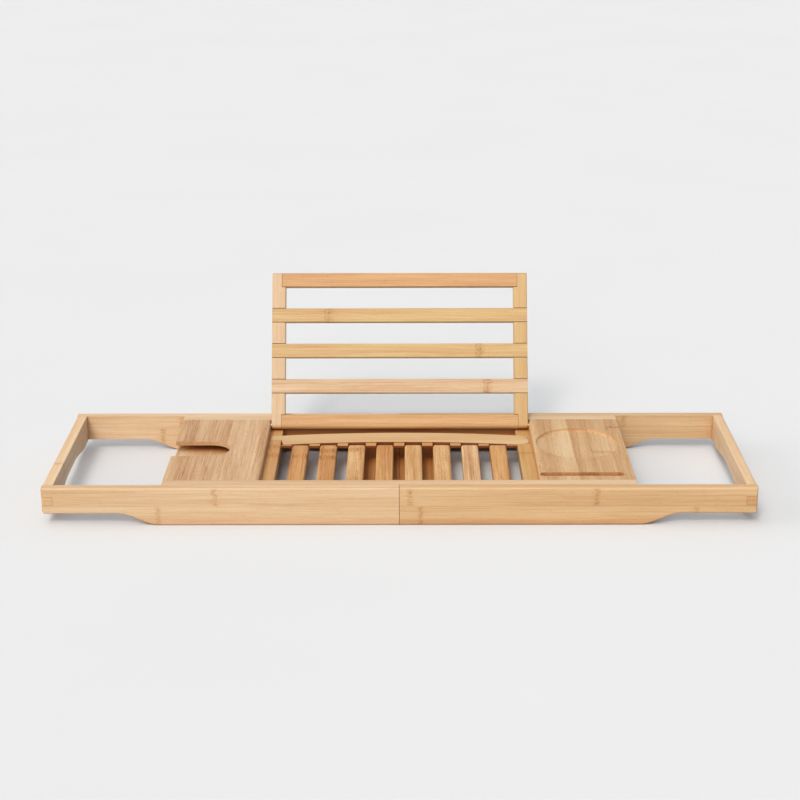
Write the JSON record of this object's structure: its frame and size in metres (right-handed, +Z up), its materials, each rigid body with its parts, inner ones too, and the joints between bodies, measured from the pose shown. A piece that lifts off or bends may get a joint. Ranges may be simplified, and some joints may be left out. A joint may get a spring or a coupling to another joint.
{
  "type": "bath caddy",
  "caption": "Extending bamboo bath caddy: a slatted tray with a glass slot, a cup recess, a phone groove, sliding end frames and a folding book stand.",
  "frame": {"origin": "on the floor, under the middle of the box round the whole object with its book stand raised", "axes": "+X to the right along the caddy's length, +Y to the back, the way the book stand leans, +Z up"},
  "size_m": [0.75, 0.2822, 0.1982],
  "materials": {
    "bamboo_pale": "satin clear lacquer on pale bamboo",
    "bamboo_warm": "satin clear lacquer on warm bamboo",
    "bamboo_panel": "satin clear lacquer on laminated bamboo strips",
    "bamboo_slat": "satin clear lacquer on carbonised bamboo",
    "bamboo_shade": "plain sanded bamboo under the tray",
    "steel": "bright steel pin"
  },
  "bodies": {
    "tray": {"tray_front_rail": "bamboo_pale", "tray_back_rail": "bamboo_pale", "left_panel": "bamboo_panel", "left_shelf": "bamboo_warm", "right_panel": "bamboo_panel", "left_side_rail": "bamboo_warm", "right_side_rail": "bamboo_warm", "ledge_bar": "bamboo_pale", "ledge_pin": "steel", "slat_back_rail": "bamboo_warm", "slat_front_rail": "bamboo_warm", "slat_1": "bamboo_slat", "slat_2": "bamboo_slat", "slat_3": "bamboo_slat", "slat_4": "bamboo_slat", "slat_5": "bamboo_slat", "slat_6": "bamboo_slat", "slat_7": "bamboo_slat", "slat_8": "bamboo_slat", "left_front_stop": "bamboo_shade", "left_back_stop": "bamboo_shade", "right_front_stop": "bamboo_shade", "right_back_stop": "bamboo_shade", "left_pivot_pin": "steel", "right_pivot_pin": "steel"},
    "left_frame": {"left_front_rail": "bamboo_pale", "left_back_rail": "bamboo_pale", "left_end_rail": "bamboo_warm", "left_crossbar": "bamboo_shade"},
    "right_frame": {"right_front_rail": "bamboo_pale", "right_back_rail": "bamboo_pale", "right_end_rail": "bamboo_warm", "right_crossbar": "bamboo_shade"},
    "book_stand": {"stand_left_stile": "bamboo_warm", "stand_right_stile": "bamboo_warm", "stand_rail_1": "bamboo_warm", "stand_rail_2": "bamboo_warm", "stand_rail_3": "bamboo_warm", "stand_rail_4": "bamboo_warm", "stand_rail_5": "bamboo_warm"}
  },
  "joints": [
    {"name": "left_slide", "type": "slide", "parent": "tray", "child": "left_frame", "axis": [-1, 0, 0], "range_m": [0, 0.17]},
    {"name": "right_slide", "type": "slide", "parent": "tray", "child": "right_frame", "axis": [1, 0, 0], "range_m": [0, 0.17]},
    {"name": "stand_fold", "type": "hinge", "parent": "tray", "child": "book_stand", "pos_m": [0, 0.05977, 0.0373], "axis": [1, 0, 0], "range_deg": [0, 116]}
  ]
}
